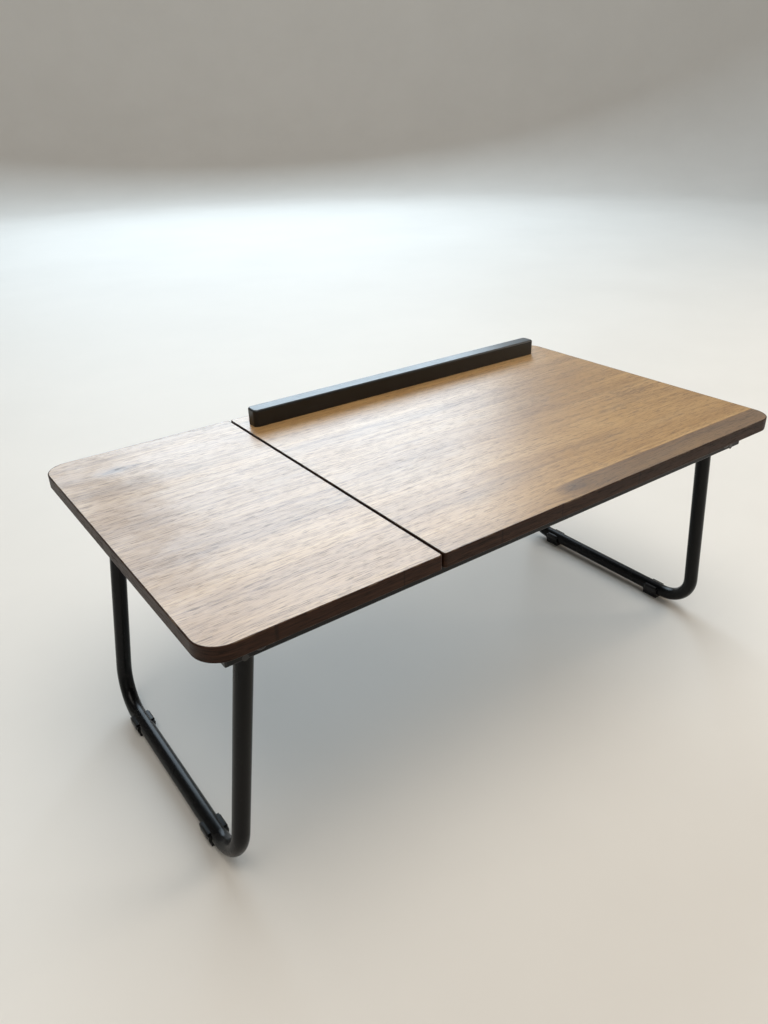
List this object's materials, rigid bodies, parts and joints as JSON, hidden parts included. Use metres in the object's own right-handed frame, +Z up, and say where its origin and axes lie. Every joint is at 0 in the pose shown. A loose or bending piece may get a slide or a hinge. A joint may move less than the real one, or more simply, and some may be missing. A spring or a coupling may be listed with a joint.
{
  "type": "folding tray table",
  "caption": "Low folding lap table: narrow fixed top beside a wide tilting top with a stop bar, carried on rails with folding U-shaped tube legs and a notched wire prop.",
  "frame": {"origin": "on the floor, under the centre of the top's bounding box, legs open and top flat", "axes": "+X along the long side, to the right of the user; +Y away from the user; +Z up"},
  "size_m": [0.6, 0.33, 0.263],
  "materials": {
    "top_laminate": "satin brown oak-pattern laminate on board",
    "edge_banding": "satin brown wood-pattern edge banding",
    "black_frame_paint": "satin black powder coat",
    "black_leg_paint": "semi-gloss black powder coat",
    "black_plastic": "satin black moulded plastic",
    "bar_plastic": "satin black moulded plastic",
    "rack_plastic": "black moulded nylon",
    "nylon": "natural nylon",
    "pad_rubber": "matt black rubber",
    "plated_steel": "zinc-plated steel",
    "hinge_steel": "satin black e-coat",
    "black_rivet": "black oxide",
    "prop_wire_paint": "satin black powder coat"
  },
  "bodies": {
    "frame": {"fixed_board": "top_laminate", "fixed_board_edging": "edge_banding", "front_rail": "black_frame_paint", "rear_rail": "black_frame_paint", "rail_end_caps": "black_plastic", "inner_board_strap": "black_frame_paint", "outer_board_strap": "black_frame_paint", "fixed_board_screws": "plated_steel", "outer_prop_strap": "black_frame_paint", "inner_prop_strap": "black_frame_paint", "outer_prop_ear": "black_frame_paint", "inner_prop_ear": "black_frame_paint", "ear_rivets": "plated_steel", "rest_pads": "pad_rubber", "leg_pivot_pins": "black_rivet", "leg_pivot_spacers": "nylon", "leg_pivot_nuts": "plated_steel", "leg_stop_pegs": "black_rivet", "left_hinge_rail_leaf": "hinge_steel", "right_hinge_rail_leaf": "hinge_steel", "hinge_pins": "plated_steel", "hinge_rivets": "plated_steel"},
    "tilt_top": {"tilt_board": "top_laminate", "tilt_board_edging": "edge_banding", "stop_bar": "bar_plastic", "stop_bar_screws": "plated_steel", "left_hinge_board_leaf": "hinge_steel", "right_hinge_board_leaf": "hinge_steel", "hinge_screws": "plated_steel", "outer_notched_rack": "rack_plastic", "inner_notched_rack": "rack_plastic", "rack_screws": "plated_steel"},
    "prop": {"prop_wire": "prop_wire_paint", "prop_end_caps": "black_plastic"},
    "left_leg": {"left_leg_tube": "black_leg_paint", "left_leg_bushes": "nylon", "left_leg_end_plugs": "black_plastic", "left_front_foot_clip": "black_plastic", "left_rear_foot_clip": "black_plastic"},
    "right_leg": {"right_leg_tube": "black_leg_paint", "right_leg_bushes": "nylon", "right_leg_end_plugs": "black_plastic", "right_front_foot_clip": "black_plastic", "right_rear_foot_clip": "black_plastic"}
  },
  "joints": [
    {"name": "top_tilt", "type": "hinge", "parent": "frame", "child": "tilt_top", "pos_m": [-0.09, -0.148, 0.2315], "axis": [1, 0, 0], "range_deg": [0, 35]},
    {"name": "prop_swing", "type": "hinge", "parent": "frame", "child": "prop", "pos_m": [-0.135, -0.038, 0.222], "axis": [1, 0, 0], "range_deg": [0, 64.25]},
    {"name": "left_leg_fold", "type": "hinge", "parent": "frame", "child": "left_leg", "pos_m": [-0.25489, 0, 0.223], "axis": [0, -1, 0], "range_deg": [0, 97]},
    {"name": "right_leg_fold", "type": "hinge", "parent": "frame", "child": "right_leg", "pos_m": [0.25489, 0, 0.223], "axis": [0, 1, 0], "range_deg": [0, 97]}
  ],
  "couplings": [
    {"joint": "prop_swing", "follows": "top_tilt", "ratio": 1.8348}
  ]
}
